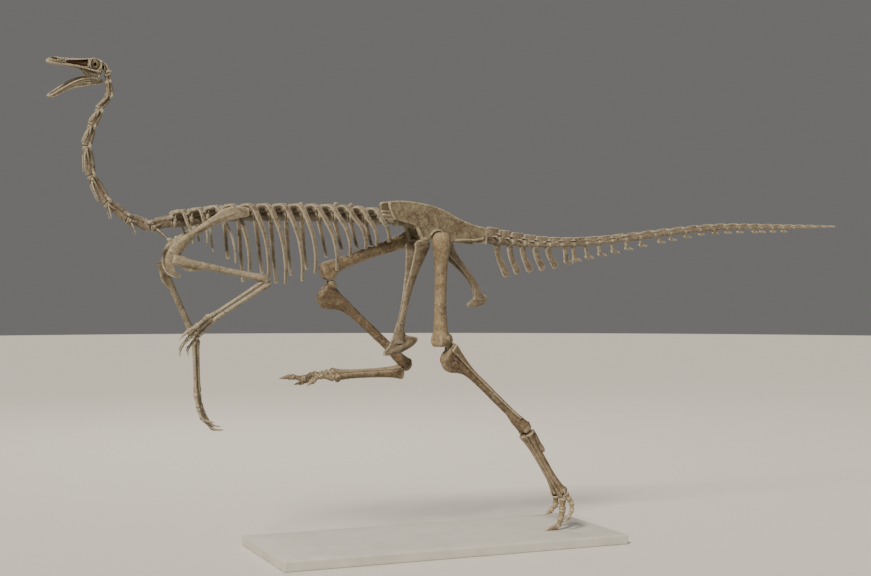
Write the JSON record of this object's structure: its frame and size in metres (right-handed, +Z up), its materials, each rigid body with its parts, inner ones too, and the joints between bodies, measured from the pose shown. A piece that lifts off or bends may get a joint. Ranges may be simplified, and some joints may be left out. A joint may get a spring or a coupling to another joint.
{
  "type": "mounted dinosaur skeleton",
  "caption": "Life-size mounted skeleton of a running ostrich dinosaur, balanced on its left foot on a flat base, beak open and tail held out level.",
  "frame": {"origin": "middle of the underside of the flat base, on the floor", "axes": "+Z up, -X towards the beak, +X towards the tail, -Y the animal's left side"},
  "size_m": [5.3709, 0.9, 2.8582],
  "materials": {
    "bone_pale": "pale cream fossil bone, dry and finely pitted, thin matt sealer",
    "bone_tan": "grey-tan fossil bone with darker hollows, thin matt sealer",
    "bone_ochre": "ochre-brown fossil bone, speckled, slight sheen on the joint ends",
    "bone_mottled": "olive and red-brown mottled fossil bone, lengthwise grain",
    "base_paint": "pale grey satin paint on a flat exhibit base"
  },
  "bodies": {
    "root": {"skull": "bone_pale", "lower_jaw": "bone_pale", "sclerotic_ring_left": "bone_pale", "sclerotic_ring_right": "bone_pale", "neck_upper": "bone_tan", "neck_middle": "bone_tan", "neck_lower": "bone_tan", "rib_cage_left": "bone_tan", "rib_cage_right": "bone_tan", "sacrum": "bone_tan", "ilium_left": "bone_mottled", "ilium_right": "bone_mottled", "pubis": "bone_tan", "ischium": "bone_tan", "tail_base": "bone_tan", "tail_middle": "bone_tan", "tail_rear": "bone_tan", "tail_tip": "bone_tan", "scapula_left": "bone_pale", "humerus_left": "bone_pale", "ulna_left": "bone_pale", "radius_left": "bone_pale", "palm_left": "bone_pale", "finger_1_left": "bone_pale", "finger_2_left": "bone_pale", "finger_3_left": "bone_pale", "femur_left": "bone_ochre", "tibia_left": "bone_ochre", "fibula_left": "bone_ochre", "metatarsus_left": "bone_ochre", "toe_2_left": "bone_ochre", "toe_3_left": "bone_ochre", "toe_4_left": "bone_ochre", "scapula_right": "bone_pale", "humerus_right": "bone_pale", "ulna_right": "bone_pale", "radius_right": "bone_pale", "palm_right": "bone_pale", "finger_1_right": "bone_pale", "finger_2_right": "bone_pale", "finger_3_right": "bone_pale", "femur_right": "bone_ochre", "tibia_right": "bone_ochre", "fibula_right": "bone_ochre", "metatarsus_right": "bone_ochre", "toe_2_right": "bone_ochre", "toe_3_right": "bone_ochre", "toe_4_right": "bone_ochre", "stand_base": "base_paint"}
  },
  "joints": []
}
